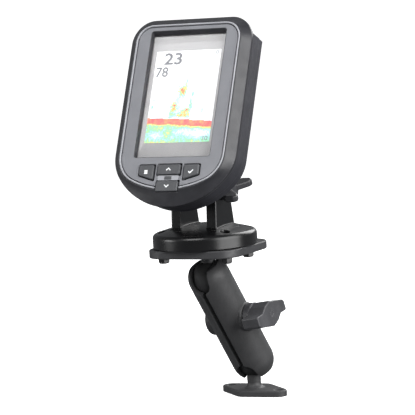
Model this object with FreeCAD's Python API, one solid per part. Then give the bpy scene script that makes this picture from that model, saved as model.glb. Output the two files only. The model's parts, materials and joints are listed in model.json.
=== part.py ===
"""Portrait fish finder on a swivel gimbal and a double-socket ball mount.

Millimetres, +Z up, origin at the centre of the diamond base's underside.
The screen faces -Y and +X is to the right of someone who looks at it.
"""
import FreeCAD
import Part
import math
import os

V = FreeCAD.Vector

# Diamond base and balls
BASE_LENGTH = 61.7
BASE_WIDTH = 33.3
BASE_THICKNESS = 4.6
BASE_TURN = -17.0
BASE_TIP_RADIUS = 6.6
BASE_SIDE_RADIUS = 9.0
BASE_HOLE_SPACING = 48.6
BASE_HOLE_RADIUS = 2.6
BASE_HOLE_SINK = 1.2
BALL_RADIUS = 12.7
CORE_RADIUS = 10.4
SKIN_INNER_RADIUS = 10.7
STEM_RADIUS = 5.3
LOWER_BALL = V(0, 0, 26.3)

# Double-socket arm and its clamp
ARM_SPAN = 77.3
ARM_LEAN = 29.5
ARM_HEADING = -111.0
CLAMP_HEADING = -7.3
ARM_RADIUS = 16.0
SOCKET_INNER_RADIUS = 13.0
SOCKET_END = 10.5
ARM_GAP = 3.4
ARM_EDGE = 0.9
STEM_NOTCH_HALF_WIDTH = 7.8
STEM_NOTCH_START = 2.6
BOSS_RADIUS = 11.0
KNOB_BOSS_REACH = 16.4
BOLT_BOSS_REACH = 17.3
CLAMP_BOLT_RADIUS = 3.1
KNOB_START = 17.4
KNOB_LENGTH = 19.8
COLLAR_RADIUS = 9.9
COLLAR_LENGTH = 6.0
GRIP_HALF = [(3.6, 8.9), (18.2, -0.4), (19.6, -2.7), (17.5, -9.5), (9.9, -7.1), (3.5, -9.0)]

# Round swivel base and adapter plate
DISC_RADIUS = 38.7
DISC_HEIGHT = 11.2
DISC_ABOVE_BALL = 35.5
BALL_BEHIND_DISC_CENTRE = 3.0
PLATE_SIZE = 74.0
PLATE_THICKNESS = 6.0
PLATE_OFFSET = 4.0
PLATE_CORNER = 18.0
PLATE_BOLT_X = 26.0
PLATE_BOLT_Y = 17.5
TURRET_RADIUS = 26.5
TURRET_BOTTOM = 0.2
TURRET_PROFILE = [(TURRET_RADIUS, 2.55), (15.5, 4.6, 4.03, 5.53)]
SCREW_POCKET_RADIUS = 7.6
SCREW_POCKET_FLOOR = 2.9

# Gimbal legs
LEG_INNER = 10.9
LEG_OUTER = 18.7
PIVOT_HEIGHT = 30.0
PIVOT_BEHIND_DISC_CENTRE = -3.0
PIVOT_BOLT_RADIUS = 3.0
GIMBAL_KNOB_TURN = 20.0
GIMBAL_WING = [(2.5, 3.0), (6.5, 13.4), (9.5, 16.0), (15.5, 16.0), (18.2, 13.6),
               (17.2, 10.4), (9.5, 3.0)]
WING_THICKNESS = 5.2
HUB_RADIUS = 10.5
HUB_HALF_LENGTH = 9.4

# Head: x across, y into the case from the screen, z up the face
HEAD_TILT = 24.3
SCREEN_FROM_DISC = V(0, -20.4, 101.2)
ROUND = 1 - math.sqrt(0.5)
SLOPED = 0.44
CASE = {"half_width": 49.5, "top": 60.5, "bottom": -84.0, "corner_across": 18.0,
        "corner_down": 18.0, "corner_bend": ROUND, "side_end": -44.0, "side_radius": 30.0}
REAR = {"half_width": 48.6, "top": 56.5, "bottom": -82.0, "corner_across": 17.0,
        "corner_down": 8.5, "corner_bend": SLOPED, "side_end": -44.0, "side_radius": 29.0}
BACK = {"half_width": 36.0, "top": 44.0, "bottom": -65.0, "corner_across": 14.0,
        "corner_down": 7.0, "corner_bend": SLOPED, "side_end": -36.0, "side_radius": 24.0}
TRIM = {"half_width": 42.8, "top": 54.8, "bottom": -72.6, "corner_across": 13.0,
        "corner_down": 13.0, "corner_bend": ROUND, "side_end": -46.0, "side_radius": 22.0}
FASCIA = {"half_width": 40.7, "top": 52.7, "bottom": -70.5, "corner_across": 11.0,
          "corner_down": 11.0, "corner_bend": ROUND, "side_end": -46.0, "side_radius": 20.0}
FACE_FRONT = -4.0
FACE_BACK = -2.4
FLOOR_BACK = -0.6
PARTING = 4.0
REAR_START = 5.0
REAR_STEP = 15.0
REAR_EDGE = 21.0
REAR_BACK = 27.0
WALL = 2.4
WINDOW_HALF_WIDTH = 30.0
WINDOW_TOP = 47.2
WINDOW_BOTTOM = -47.6
WINDOW_RIM_FRONT = -3.9
ACTIVE_WIDTH = 53.3
ACTIVE_HEIGHT = 71.1

# Screws and sockets of the case, as points across and up the face
SCREW_POINTS = [(-37.5, 38.0), (37.5, 38.0), (-34.0, -58.0), (34.0, -58.0)]
NECK_SCREWS = [(-6.0, -35.0), (6.0, -35.0), (-6.0, -61.0), (6.0, -61.0)]
SOCKET_HEIGHT = 12.0
SOCKET_CLEARANCE = 0.2
POWER_SOCKET = {"x": -15.0, "radius": 8.0, "pin_circle": 2.4, "pins": 2}
SONAR_SOCKET = {"x": 15.0, "radius": 9.5, "pin_circle": 4.0, "pins": 5}

# Keys, as corner points across and up the face
KEYS = {
    "menu_button": [(-24.3, -54.3), (-12.3, -54.3), (-12.3, -65.4), (-24.3, -61.7)],
    "up_button": [(-9.2, -54.0), (9.2, -54.0), (9.2, -61.6), (-9.2, -61.6)],
    "down_button": [(-8.8, -66.5), (8.8, -66.5), (8.8, -74.2), (-8.8, -74.2)],
    "check_button": [(12.3, -54.3), (24.3, -54.3), (24.3, -61.7), (12.3, -65.4)],
}
KEY_FRONT = -5.3
KEY_BACK = -1.4
KEY_CORNER = 1.1
KEY_CLEARANCE = 0.4
KEY_SURROUND = 1.0
MEMBRANE_FRONT = -0.4
MEMBRANE_BACK = 1.0

# Larger parts on the circuit board
CHIPS = [
    {"x": -14.0, "z": 6.0, "width": 14.0, "height": 14.0, "depth": 1.6},
    {"x": 12.0, "z": 10.0, "width": 10.0, "height": 8.0, "depth": 1.4},
    {"x": -20.0, "z": -20.0, "width": 9.0, "height": 12.0, "depth": 1.8},
    {"x": 10.0, "z": -18.0, "width": 18.0, "height": 12.0, "depth": 3.2},
    {"x": 24.0, "z": -36.0, "width": 8.0, "height": 14.0, "depth": 5.0},
]

PARTS = {}


def cylinder(radius, start, direction, length):
    return Part.makeCylinder(radius, length, start, direction)


def cone(radius_1, radius_2, start, direction, length):
    return Part.makeCone(radius_1, radius_2, length, start, direction)


def box(low, high):
    size = high - low
    return Part.makeBox(size.x, size.y, size.z, low)


def fuse(shapes):
    result = shapes[0].multiFuse(shapes[1:])
    return result.removeSplitter()


def tube(outer, inner, start, direction, length):
    return cylinder(outer, start, direction, length).cut(
        cylinder(inner, start, direction, length))


def along_edges(shape, direction):
    """Straight edges of a shape that run along one direction."""
    chosen = []
    for edge in shape.Edges:
        if isinstance(edge.Curve, Part.Line):
            run = edge.Vertexes[-1].Point - edge.Vertexes[0].Point
            if run.Length > 0 and abs(run.normalize().dot(direction)) > 0.999:
                chosen.append(edge)
    return chosen


def edges_at(shape, axis, value):
    """Edges that lie wholly at one value of x, y or z."""
    chosen = []
    for edge in shape.Edges:
        low = getattr(edge.BoundBox, axis.upper() + "Min")
        high = getattr(edge.BoundBox, axis.upper() + "Max")
        if abs(low - value) < 0.01 and abs(high - value) < 0.01:
            chosen.append(edge)
    return chosen


def polygon_prism(points, y_front, y_back):
    corners = [V(x, y_front, z) for x, z in points]
    face = Part.Face(Part.makePolygon(corners + corners[:1]))
    return face.extrude(V(0, y_back - y_front, 0))


def inset(shape, amount):
    """A face outline made smaller by one amount all round."""
    smaller = dict(shape)
    for key in ("half_width", "top", "corner_across", "corner_down", "side_radius"):
        smaller[key] -= amount
    smaller["bottom"] += amount
    return smaller


def outline(shape, y):
    """Closed wire of a head outline: flat top, straight sides, bowed bottom."""
    half = shape["half_width"]
    top = shape["top"]
    flat_end = half - shape["corner_across"]
    shoulder = top - shape["corner_down"]
    side_end = shape["side_end"]
    small = shape["side_radius"]
    centre_x = half - small
    drop = side_end - shape["bottom"]
    large = (centre_x ** 2 + drop ** 2 - small ** 2) / (2 * (drop - small))
    centre_z = shape["bottom"] + large
    angle = math.atan2(side_end - centre_z, centre_x)
    join = (large * math.cos(angle), centre_z + large * math.sin(angle))
    bow = (centre_x + small * math.cos(angle / 2), side_end + small * math.sin(angle / 2))
    bend = (half - shape["corner_across"] * shape["corner_bend"],
            top - shape["corner_down"] * shape["corner_bend"])

    def point(x, z):
        return V(x, y, z)

    edges = [
        Part.LineSegment(point(-flat_end, top), point(flat_end, top)),
        Part.Arc(point(flat_end, top), point(*bend), point(half, shoulder)),
        Part.LineSegment(point(half, shoulder), point(half, side_end)),
        Part.Arc(point(half, side_end), point(*bow), point(*join)),
        Part.Arc(point(*join), point(0, shape["bottom"]), point(-join[0], join[1])),
        Part.Arc(point(-join[0], join[1]), point(-bow[0], bow[1]), point(-half, side_end)),
        Part.LineSegment(point(-half, side_end), point(-half, shoulder)),
        Part.Arc(point(-half, shoulder), point(-bend[0], bend[1]), point(-flat_end, top)),
    ]
    return Part.Wire([edge.toShape() for edge in edges])


def slab(shape, y_front, y_back):
    return Part.Face(outline(shape, y_front)).extrude(V(0, y_back - y_front, 0))


def blend(shape_1, y_1, shape_2, y_2):
    return Part.makeLoft([outline(shape_1, y_1), outline(shape_2, y_2)], True, True)


def rounded_block(low, high, radius, direction):
    block = box(low, high)
    return block.makeFillet(radius, along_edges(block, direction))


def turned(points):
    """Solid of revolution about Z from (radius, height) points.

    A point with four numbers ends an arc that passes through its first two.
    """
    edges = []
    here = V(points[0][0], 0, points[0][1])
    for point in points[1:] + points[:1]:
        there = V(point[-2], 0, point[-1])
        if len(point) == 4:
            curve = Part.Arc(here, V(point[0], 0, point[1]), there)
        else:
            curve = Part.LineSegment(here, there)
        edges.append(curve.toShape())
        here = there
    return Part.Face(Part.Wire(edges)).revolve(V(0, 0, 0), V(0, 0, 1), 360)


def hexagon(across_flats, start_z, height):
    reach = across_flats / math.sqrt(3)
    corners = [V(reach * math.cos(math.radians(60 * i)),
                 reach * math.sin(math.radians(60 * i)), start_z) for i in range(7)]
    return Part.Face(Part.makePolygon(corners)).extrude(V(0, 0, height))


# ---------------------------------------------------------------- frames

def arm_direction():
    lean = math.radians(ARM_LEAN)
    heading = math.radians(ARM_HEADING)
    return V(math.sin(lean) * math.cos(heading), math.sin(lean) * math.sin(heading),
             math.cos(lean))


def clamp_direction():
    """Square to the arm, pointing towards the clamp knob."""
    heading = math.radians(CLAMP_HEADING)
    arm = arm_direction()
    flat = V(math.cos(heading), math.sin(heading), 0)
    return V(flat.x, flat.y, -flat.dot(arm) / arm.z).normalize()


def arm_placement():
    """Arm frame: Z from the lower ball to the upper one, X along the clamp bolt."""
    z_axis = arm_direction()
    x_axis = clamp_direction()
    y_axis = z_axis.cross(x_axis)
    return FreeCAD.Placement(LOWER_BALL, FreeCAD.Rotation(x_axis, y_axis, z_axis, "ZXY"))


def upper_ball():
    return LOWER_BALL + arm_direction() * ARM_SPAN


def disc_centre():
    return upper_ball() + V(0, -BALL_BEHIND_DISC_CENTRE, DISC_ABOVE_BALL)


def disc_placement():
    """Disc frame: origin at the centre of the disc's top face."""
    return FreeCAD.Placement(disc_centre(), FreeCAD.Rotation())


def head_placement():
    return FreeCAD.Placement(disc_centre() + SCREEN_FROM_DISC,
                             FreeCAD.Rotation(V(1, 0, 0), -HEAD_TILT))


def pivot_in_head():
    """Pivot axis as depth and height in the head's own frame."""
    step = V(0, PIVOT_BEHIND_DISC_CENTRE, PIVOT_HEIGHT) - SCREEN_FROM_DISC
    tilt = math.radians(HEAD_TILT)
    depth = step.y * math.cos(tilt) - step.z * math.sin(tilt)
    height = step.y * math.sin(tilt) + step.z * math.cos(tilt)
    return depth, height


def keep(name, shape, placement=None):
    """Store one sub-component in the object's frame."""
    shape = shape.copy()
    if placement is not None:
        shape.transformShape(placement.toMatrix())
    PARTS[name] = shape


# ---------------------------------------------------------------- diamond base

def base_plate():
    """Diamond foot with two screw holes, a flared stem and a solid ball core."""
    plate = rounded_diamond()
    plate = plate.makeChamfer(0.7, edges_at(plate, "z", BASE_THICKNESS))
    for x in (-BASE_HOLE_SPACING / 2, BASE_HOLE_SPACING / 2):
        plate = plate.cut(cylinder(BASE_HOLE_RADIUS, V(x, 0, 0), V(0, 0, 1), BASE_THICKNESS))
        plate = plate.cut(cone(BASE_HOLE_RADIUS, BASE_HOLE_RADIUS + BASE_HOLE_SINK,
                               V(x, 0, BASE_THICKNESS - BASE_HOLE_SINK), V(0, 0, 1),
                               BASE_HOLE_SINK))
    flare = turned([(0, 3.0), (10.0, 3.0), (10.0, 4.6), (6.4, 5.6, STEM_RADIUS, 9.6),
                    (STEM_RADIUS, LOWER_BALL.z), (0, LOWER_BALL.z)])
    core = Part.makeSphere(CORE_RADIUS, LOWER_BALL)
    solid = fuse([plate, flare, core])
    turn = FreeCAD.Placement(V(0, 0, 0), FreeCAD.Rotation(V(0, 0, 1), BASE_TURN))
    keep("base_plate", solid, turn)


def rounded_diamond():
    """Diamond prism with round tips and rounder sides, joined by tangent lines."""
    tip = V(BASE_LENGTH / 2 - BASE_TIP_RADIUS, 0, 0)
    side = V(0, BASE_WIDTH / 2 - BASE_SIDE_RADIUS, 0)
    run = side - tip
    swing = math.asin((BASE_SIDE_RADIUS - BASE_TIP_RADIUS) / run.Length)
    normal = math.atan2(run.y, run.x) - math.pi / 2 - swing
    direction = V(math.cos(normal), math.sin(normal), 0)
    near_tip = tip + direction * BASE_TIP_RADIUS
    near_side = side + direction * BASE_SIDE_RADIUS

    def mirrored(point, sx, sy):
        return V(sx * point.x, sy * point.y, 0)

    edges = []
    for sx, sy in ((1, 1), (-1, 1), (-1, -1), (1, -1)):
        edges.append(Part.LineSegment(mirrored(near_tip, sx, sy), mirrored(near_side, sx, sy)))
    for s in (1, -1):
        edges.append(Part.Arc(mirrored(near_tip, s, 1), V(s * BASE_LENGTH / 2, 0, 0),
                              mirrored(near_tip, s, -1)))
        edges.append(Part.Arc(mirrored(near_side, 1, s), V(0, s * BASE_WIDTH / 2, 0),
                              mirrored(near_side, -1, s)))
    wire = Part.Wire(Part.__sortEdges__([edge.toShape() for edge in edges]))
    return Part.Face(wire).extrude(V(0, 0, BASE_THICKNESS))


def ball_skin(name, centre, stem_side):
    """Rubber skin of a ball, open where the stem leaves it."""
    skin = Part.makeSphere(BALL_RADIUS, centre).cut(
        Part.makeSphere(SKIN_INNER_RADIUS, centre))
    hole = cylinder(STEM_RADIUS + 0.4, centre, V(0, 0, stem_side), BALL_RADIUS + 2)
    keep(name, skin.cut(hole))


# ---------------------------------------------------------------- arm

def arm_blank():
    """Both arm halves as one round bar with ball-shaped ends."""
    bar = cylinder(ARM_RADIUS, V(0, 0, 0), V(0, 0, 1), ARM_SPAN)
    ends = [Part.makeSphere(ARM_RADIUS, V(0, 0, z)) for z in (0, ARM_SPAN)]
    return fuse([bar] + ends)


def socket_cuts(centre_z, outward):
    """Ball seat, flat end and stem notch of one socket."""
    centre = V(0, 0, centre_z)
    seat = Part.makeSphere(SOCKET_INNER_RADIUS, centre)
    end = cylinder(30, centre + V(0, 0, SOCKET_END * outward), V(0, 0, outward), 20)
    half = STEM_NOTCH_HALF_WIDTH
    root = centre_z + STEM_NOTCH_START * outward
    tip = centre_z + 30 * outward
    notch = cylinder(half, V(0, -20, root), V(0, 1, 0), 40)
    channel = box(V(-half, -20, min(root, tip)), V(half, 20, max(root, tip)))
    return [seat, end, notch, channel]


def arm_half(side):
    """One half of the arm; side is +1 on the knob's side and -1 on the other."""
    middle = ARM_SPAN / 2
    near = side * ARM_GAP / 2
    low_x, high_x = sorted((near, side * 30))
    body = arm_blank().common(box(V(low_x, -30, -30), V(high_x, 30, ARM_SPAN + 30)))
    body = body.makeFillet(ARM_EDGE, edges_at(body, "x", near))
    reach = KNOB_BOSS_REACH if side > 0 else BOLT_BOSS_REACH
    boss = cylinder(BOSS_RADIUS, V(side * 9.0, 0, middle), V(side, 0, 0), reach - 9.0)
    boss = boss.makeFillet(1.6, edges_at(boss, "x", side * reach))
    body = fuse([body, boss])
    cuts = socket_cuts(0, -1) + socket_cuts(ARM_SPAN, 1)
    pocket = box(V(-8.6, -7.6, 22), V(8.6, 7.6, ARM_SPAN - 22))
    pocket = pocket.makeFillet(2.0, along_edges(pocket, V(1, 0, 0)))
    cuts.append(pocket)
    if side > 0:
        cuts.append(cylinder(CLAMP_BOLT_RADIUS + 0.3, V(0, 0, middle), V(1, 0, 0), 30))
    else:
        square = CLAMP_BOLT_RADIUS + 0.1
        cuts.append(box(V(-30, -square, middle - square), V(0, square, middle + square)))
        cuts.append(cylinder(8.2, V(-reach, 0, middle), V(1, 0, 0), 2.0))
    for tool in cuts:
        body = body.cut(tool)
    return largest_solid(body)


def largest_solid(shape):
    return max(shape.Solids, key=lambda solid: solid.Volume)


def clamp_parts():
    """Carriage bolt, spring, washer, insert and winged knob."""
    middle = ARM_SPAN / 2
    place = arm_placement()
    axis = V(1, 0, 0)
    seat = 2.0 - BOLT_BOSS_REACH
    bolt = cylinder(CLAMP_BOLT_RADIUS, V(seat - 1.4, 0, middle), axis,
                    KNOB_START + 13.0 + 1.4 - seat)
    square = CLAMP_BOLT_RADIUS
    neck = box(V(seat - 0.4, -square, middle - square), V(seat + 4.1, square, middle + square))
    dome = Part.makeSphere(12.0, V(seat + 8.0, 0, middle)).common(
        cylinder(7.9, V(seat - 4.9, 0, middle), axis, 4.85))
    keep("clamp_bolt", fuse([bolt, neck, dome]), place)

    coil = Part.makeHelix(3.1, 15.5, 5.2)
    section = Part.Wire([Part.makeCircle(0.7, V(5.2, 0, 0), V(0, 1, 0))])
    spring = Part.Wire(coil).makePipeShell([section], True, True)
    spring.transformShape(FreeCAD.Placement(V(-7.75, 0, middle),
                                            FreeCAD.Rotation(V(0, 1, 0), 90)).toMatrix())
    keep("clamp_spring", spring, place)

    washer = tube(8.8, CLAMP_BOLT_RADIUS + 0.3, V(KNOB_BOSS_REACH, 0, middle), axis, 0.9)
    keep("clamp_washer", washer, place)

    insert = hexagon(9.0, 0, 7.0).cut(
        cylinder(CLAMP_BOLT_RADIUS + 0.06, V(0, 0, 0), V(0, 0, 1), 7.0))
    insert.transformShape(FreeCAD.Placement(V(KNOB_START + 0.2, 0, middle),
                                            FreeCAD.Rotation(V(0, 1, 0), 90)).toMatrix())
    keep("clamp_knob_insert", insert, place)
    keep("clamp_knob", wing_grip_knob(), place)


def wing_grip_knob():
    """Knob with a round collar and an offset two-lobed grip, turned about the bolt."""
    points = GRIP_HALF + [(-y, -z) for y, z in GRIP_HALF]
    corners = [V(KNOB_START + COLLAR_LENGTH - 0.5, y, z) for y, z in points]
    face = Part.Face(Part.makePolygon(corners + corners[:1]))
    grip = face.extrude(V(KNOB_LENGTH - COLLAR_LENGTH + 0.5, 0, 0))
    grip = grip.makeFillet(1.1, along_edges(grip, V(1, 0, 0)))
    end = KNOB_START + KNOB_LENGTH
    grip = grip.makeFillet(0.7, edges_at(grip, "x", end))
    collar = cylinder(COLLAR_RADIUS, V(KNOB_START, 0, 0), V(1, 0, 0), COLLAR_LENGTH)
    collar = collar.makeFillet(1.0, edges_at(collar, "x", KNOB_START + COLLAR_LENGTH))
    knob = fuse([grip, collar])
    bolt_room = cylinder(CLAMP_BOLT_RADIUS + 0.3, V(KNOB_START, 0, 0), V(1, 0, 0), 14.0)
    dimple = cylinder(2.0, V(end - 0.5, 0, 0), V(1, 0, 0), 2.0)
    insert_room = hexagon(9.1, 0, 7.1)
    turn = FreeCAD.Placement(V(KNOB_START + 0.15, 0, 0), FreeCAD.Rotation(V(0, 1, 0), 90))
    insert_room.transformShape(turn.toMatrix())
    for tool in (bolt_room, dimple, insert_room):
        knob = knob.cut(tool)
    knob.translate(V(0, 0, ARM_SPAN / 2))
    return knob


def arm():
    place = arm_placement()
    keep("arm_outer_half", arm_half(1), place)
    keep("arm_inner_half", arm_half(-1), place)
    clamp_parts()


# ---------------------------------------------------------------- adapter and swivel base

def bolt_points():
    return [V(sx * PLATE_BOLT_X, sy * PLATE_BOLT_Y, 0) for sx in (-1, 1) for sy in (-1, 1)]


def adapter_plate():
    """Rounded square plate with a stem and ball core under it."""
    half = PLATE_SIZE / 2
    top = -DISC_HEIGHT
    bottom = top - PLATE_THICKNESS
    plate = rounded_block(V(-half, PLATE_OFFSET - half, bottom), V(half, PLATE_OFFSET + half, top),
                          PLATE_CORNER, V(0, 0, 1))
    plate = plate.makeFillet(0.8, edges_at(plate, "z", bottom) + edges_at(plate, "z", top))
    ball = V(0, BALL_BEHIND_DISC_CENTRE, -DISC_ABOVE_BALL)
    plate_height = DISC_ABOVE_BALL - DISC_HEIGHT - PLATE_THICKNESS
    stem = turned([(0, 0), (STEM_RADIUS, 0), (STEM_RADIUS, plate_height - 3.0),
                   (5.9, plate_height - 0.9, 7.5, plate_height), (7.5, plate_height + 2.0),
                   (0, plate_height + 2.0)])
    stem.translate(ball)
    core = Part.makeSphere(CORE_RADIUS, ball)
    solid = fuse([plate, stem, core])
    for point in bolt_points():
        solid = solid.cut(cylinder(2.3, point + V(0, 0, bottom - 1), V(0, 0, 1),
                                   PLATE_THICKNESS + 2))
    keep("adapter_plate", solid, disc_placement())


def plate_fasteners():
    """Four screws through the disc and plate, with washers and lock nuts."""
    place = disc_placement()
    plate_bottom = -DISC_HEIGHT - PLATE_THICKNESS
    bolts = []
    washers = []
    nuts = []
    for point in bolt_points():
        head = cylinder(3.3, point + V(0, 0, -4.6), V(0, 0, 1), 2.2)
        drive = rounded_slot(point + V(0, 0, -3.4))
        shank = cylinder(2.0, point + V(0, 0, plate_bottom - 5.1), V(0, 0, 1),
                         -plate_bottom + 5.1 - 3.5)
        bolts.append(fuse([head, shank]).cut(drive))
        washer = tube(4.4, 2.15, point + V(0, 0, plate_bottom - 0.8), V(0, 0, 1), 0.8)
        washers.append(washer)
        nut = hexagon(8.0, plate_bottom - 4.0, 3.2)
        collar = cylinder(3.5, V(0, 0, plate_bottom - 4.8), V(0, 0, 1), 1.0)
        nut = fuse([nut, collar]).cut(cylinder(2.05, V(0, 0, plate_bottom - 8), V(0, 0, 1), 8))
        nut.translate(point)
        nuts.append(nut)
    keep("plate_bolts", Part.Compound(bolts), place)
    keep("plate_washers", Part.Compound(washers), place)
    keep("plate_nuts", Part.Compound(nuts), place)


def rounded_slot(centre):
    """Cross recess of a screw head."""
    arms = []
    for length, width in ((4.0, 0.9), (0.9, 4.0)):
        arms.append(box(centre - V(length / 2, width / 2, 0), centre + V(length / 2, width / 2, 2)))
    return fuse(arms)


def swivel_base():
    """Round plastic base with a domed top, a seat for the turret and four bolt holes."""
    place = disc_placement()
    low = -DISC_HEIGHT
    rim = DISC_RADIUS
    seat = TURRET_RADIUS + 0.4
    disc = turned([(0, low), (rim - 0.8, low), (rim, low + 0.8), (rim, -3.6),
                   (rim - 0.7, -1.3, rim - 3.3, 0.15), (31.2, 1.4, seat, 2.47), (seat, 0), (0, 0)])
    for point in bolt_points():
        disc = disc.cut(cylinder(2.3, point + V(0, 0, low), V(0, 0, 1), DISC_HEIGHT))
        disc = disc.cut(cylinder(3.7, point + V(0, 0, -4.6), V(0, 0, 1), DISC_HEIGHT))
    disc = disc.cut(cylinder(4.0, V(0, 0, low), V(0, 0, 1), DISC_HEIGHT))
    disc = disc.cut(cylinder(7.6, V(0, 0, low), V(0, 0, 1), 4.0))
    keep("swivel_base", disc, place)

    head = turned([(0, 3.0), (7.0, 3.0), (7.0, 4.4), (6.2, 5.2), (0, 5.2)])
    shank = cylinder(3.95, V(0, 0, -5.0), V(0, 0, 1), 8.1)
    screw = fuse([head, shank, cylinder(2.8, V(0, 0, low + 0.2), V(0, 0, 1), 7.0)])
    screw = screw.cut(rounded_slot(V(0, 0, 4.0)))
    keep("swivel_screw", screw, place)

    nut = hexagon(10.0, low + 0.4, 3.0).cut(
        cylinder(2.85, V(0, 0, low), V(0, 0, 1), 5))
    keep("swivel_nut", nut, place)


def turret_cap(inner_radius):
    """Low dome of the turret, from one radius outwards."""
    top = TURRET_PROFILE[-1][-1]
    return turned([(inner_radius, TURRET_BOTTOM), (TURRET_RADIUS, TURRET_BOTTOM)]
                  + TURRET_PROFILE + [(inner_radius, top)])


def turret():
    """Round turning cap that carries the two legs."""
    place = disc_placement()
    cap = turret_cap(0)
    shaft = cylinder(TURRET_PROFILE[-1][2], V(0, 0, -1), V(0, 0, 1), 10)
    pocket = cylinder(SCREW_POCKET_RADIUS, V(0, 0, SCREW_POCKET_FLOOR), V(0, 0, 1), 5)
    keep("swivel_turret", cap.cut(shaft).cut(pocket), place)
    keep("left_leg", leg(-1, cap), place)
    keep("right_leg", leg(1, cap), place)


def leg(side, cap):
    """Tapered leg with a rounded top round the pivot and a thin flange at its foot."""
    pivot_y = PIVOT_BEHIND_DISC_CENTRE
    top_radius = 11.5
    low = 1.0
    inner_x, outer_x = sorted((side * LEG_INNER, side * LEG_OUTER))
    profile = [V(inner_x, -17.2, low), V(inner_x, pivot_y - top_radius, PIVOT_HEIGHT),
               V(inner_x, pivot_y + top_radius, PIVOT_HEIGHT), V(inner_x, 13.9, low)]
    web = Part.Face(Part.makePolygon(profile + profile[:1])).extrude(V(outer_x - inner_x, 0, 0))
    crown = cylinder(top_radius, V(inner_x, pivot_y, PIVOT_HEIGHT), V(1, 0, 0), outer_x - inner_x)
    body = fuse([web, crown])
    outer_edges = edges_at(body, "x", side * LEG_OUTER)
    outer_edges = [edge for edge in outer_edges if edge.BoundBox.ZMax > low + 1]
    body = body.makeFillet(1.2, outer_edges)
    flange = rounded_block(V(inner_x - 0.8, -17.8, low), V(outer_x + 0.8, 14.5, 9.0), 1.2,
                           V(0, 0, 1))
    raised = cap.copy()
    raised.translate(V(0, 0, 0.5))
    body = fuse([body, flange.common(raised)]).cut(cap)
    body = body.cut(cylinder(TURRET_RADIUS + 5, V(0, 0, low - 2), V(0, 0, 1), 3.6))
    return body.cut(cylinder(PIVOT_BOLT_RADIUS + 0.05, V(-30, pivot_y, PIVOT_HEIGHT),
                             V(1, 0, 0), 60))


def pivot_parts():
    """Tilt bolt, friction washers and the winged gimbal knob."""
    place = disc_placement()
    pivot = V(0, PIVOT_BEHIND_DISC_CENTRE, PIVOT_HEIGHT)
    axis = V(1, 0, 0)
    bolt = cylinder(PIVOT_BOLT_RADIUS, pivot + V(-20, 0, 0), axis, 47)
    head = turned([(0, 0), (7.4, 0), (7.4, 1.6), (5.6, 3.4), (2.4, 4.2), (0, 4.3)])
    head.transformShape(FreeCAD.Placement(pivot + V(-LEG_OUTER, 0, 0),
                                          FreeCAD.Rotation(V(0, 1, 0), -90)).toMatrix())
    keep("pivot_bolt", fuse([bolt, head]), place)

    washers = []
    for side in (-1, 1):
        start = min(side * (HUB_HALF_LENGTH + 0.2), side * LEG_INNER)
        thickness = LEG_INNER - HUB_HALF_LENGTH - 0.2
        washers.append(tube(9.0, PIVOT_BOLT_RADIUS + 0.05, pivot + V(start, 0, 0), axis, thickness))
    keep("friction_washers", Part.Compound(washers), place)

    insert = hexagon(9.0, 0, 5.0).cut(
        cylinder(PIVOT_BOLT_RADIUS + 0.06, V(0, 0, 0), V(0, 0, 1), 5.0))
    turn = FreeCAD.Placement(V(LEG_OUTER + 0.5, 0, 0), FreeCAD.Rotation(V(0, 1, 0), 90))
    insert.transformShape(turn.toMatrix())
    rest = FreeCAD.Placement(pivot, FreeCAD.Rotation(V(1, 0, 0), GIMBAL_KNOB_TURN))
    for name, shape in (("gimbal_knob", wing_knob()), ("gimbal_knob_insert", insert)):
        shape.transformShape(rest.toMatrix())
        keep(name, shape, place)


def wing_knob():
    """Two flat wings on a short hub, turned about X."""
    start = LEG_OUTER + 0.3
    hub = cone(7.4, 6.4, V(start, 0, 0), V(1, 0, 0), 9.5)
    wings = []
    for side in (-1, 1):
        flat = [V(start + x, side * r, -WING_THICKNESS / 2) for x, r in GIMBAL_WING]
        face = Part.Face(Part.makePolygon(flat + flat[:1]))
        wing = face.extrude(V(0, 0, WING_THICKNESS))
        wing = wing.makeFillet(1.8, along_edges(wing, V(0, 0, 1)))
        rims = edges_at(wing, "z", -WING_THICKNESS / 2) + edges_at(wing, "z", WING_THICKNESS / 2)
        wings.append(wing.makeFillet(1.4, rims))
    knob = fuse([hub] + wings)
    knob = knob.cut(cylinder(PIVOT_BOLT_RADIUS + 0.3, V(0, 0, 0), V(1, 0, 0), start + 8.6))
    room = hexagon(9.1, 0, 5.1)
    room.transformShape(FreeCAD.Placement(V(start + 0.15, 0, 0),
                                          FreeCAD.Rotation(V(0, 1, 0), 90)).toMatrix())
    return knob.cut(room)


# ---------------------------------------------------------------- head

def key_prism(points, grow, y_front, y_back):
    """Key outline grown by a margin all round, as a prism with round corners."""
    prism = polygon_prism(points, y_front, y_back)
    if grow > 0:
        wire = prism.Faces[0]
        for face in prism.Faces:
            if abs(face.BoundBox.YMax - y_front) < 0.01:
                wire = face
        grown = wire.OuterWire.makeOffset2D(grow, 2, False, False, True)
        prism = Part.Face(grown).extrude(V(0, y_back - y_front, 0))
    return prism.makeFillet(KEY_CORNER, along_edges(prism, V(0, 1, 0)))


def key_cuts(grow, y_front, y_back):
    return [key_prism(points, grow, y_front, y_back) for points in KEYS.values()]


def rounded_rectangle(half_width, bottom, top, radius, y):
    """Closed wire of a rectangle with round corners, facing Y."""
    bend = radius * ROUND
    edges = []
    corners = [(half_width, bottom, 1, -1), (half_width, top, 1, 1),
               (-half_width, top, -1, 1), (-half_width, bottom, -1, -1)]
    ends = []
    for x, z, across, up in corners:
        along_x = V(x - across * radius, y, z)
        along_z = V(x, y, z - up * radius)
        middle = V(x - across * bend, y, z - up * bend)
        first, last = (along_x, along_z) if across * up < 0 else (along_z, along_x)
        ends.append((first, middle, last))
    for i, (first, middle, last) in enumerate(ends):
        edges.append(Part.LineSegment(ends[i - 1][2], first))
        edges.append(Part.Arc(first, middle, last))
    return Part.Wire([edge.toShape() for edge in edges])


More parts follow.
